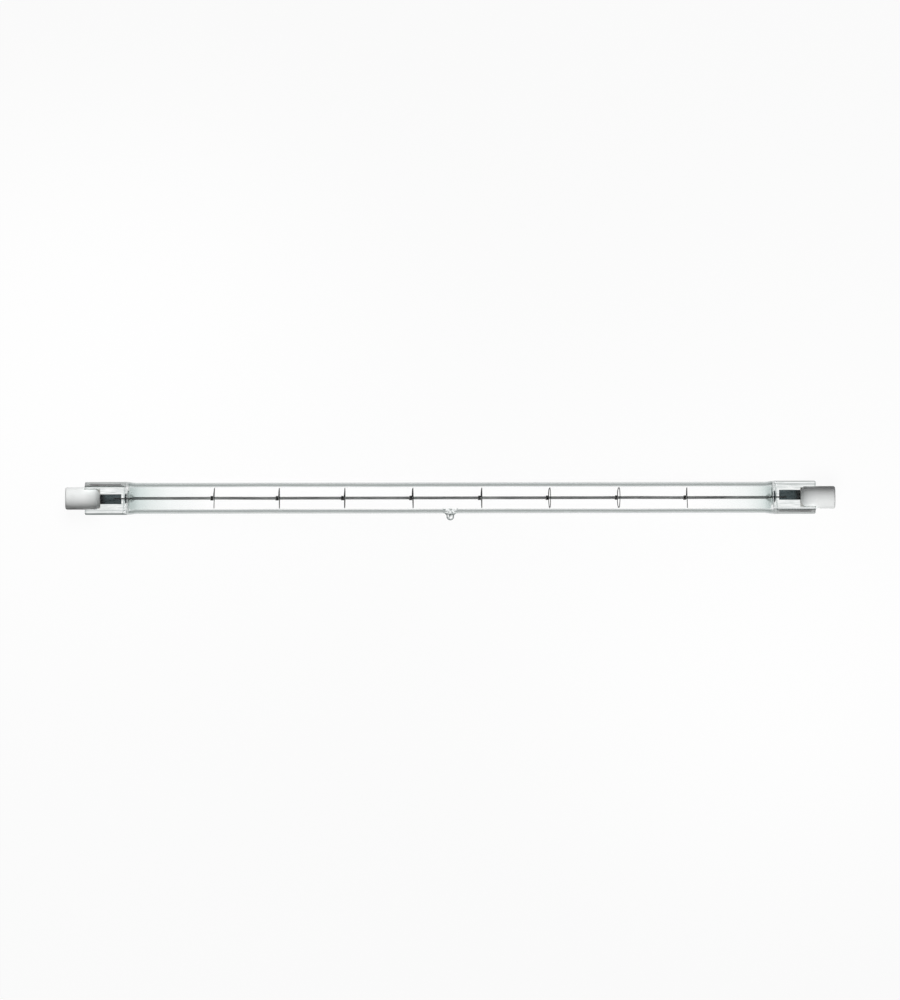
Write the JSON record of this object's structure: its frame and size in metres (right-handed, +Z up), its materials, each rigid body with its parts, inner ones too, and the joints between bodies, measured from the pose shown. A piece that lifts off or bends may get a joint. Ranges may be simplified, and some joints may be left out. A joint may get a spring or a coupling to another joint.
{
  "type": "linear halogen bulb",
  "caption": "Double-ended linear halogen bulb: clear quartz tube with pinched ends, coiled filament on wire supports, foil seals and white ceramic caps with recessed contacts.",
  "frame": {"origin": "middle of the lamp, on its axis", "axes": "+X along the lamp towards its right end, +Z up as it lies on a flat surface, exhaust tip along -Y"},
  "size_m": [0.254, 0.013, 0.0108],
  "materials": {
    "quartz": "clear fused quartz",
    "tungsten": "dull drawn tungsten",
    "support_wire": "drawn tungsten",
    "lead_wire": "drawn molybdenum",
    "foil": "dull molybdenum foil",
    "ceramic": "white steatite, fine matt",
    "cement": "rough cement",
    "contact": "nickel plate"
  },
  "bodies": {
    "root": {"quartz_envelope": "quartz", "filament": "tungsten", "filament_support_1": "support_wire", "filament_support_2": "support_wire", "filament_support_3": "support_wire", "filament_support_4": "support_wire", "filament_support_5": "support_wire", "filament_support_6": "support_wire", "filament_support_7": "support_wire", "filament_support_8": "support_wire", "inner_lead_left": "lead_wire", "outer_lead_left": "lead_wire", "foil_left": "foil", "ceramic_cap_left": "ceramic", "cement_left": "cement", "contact_left": "contact", "inner_lead_right": "lead_wire", "outer_lead_right": "lead_wire", "foil_right": "foil", "ceramic_cap_right": "ceramic", "cement_right": "cement", "contact_right": "contact"}
  },
  "joints": []
}
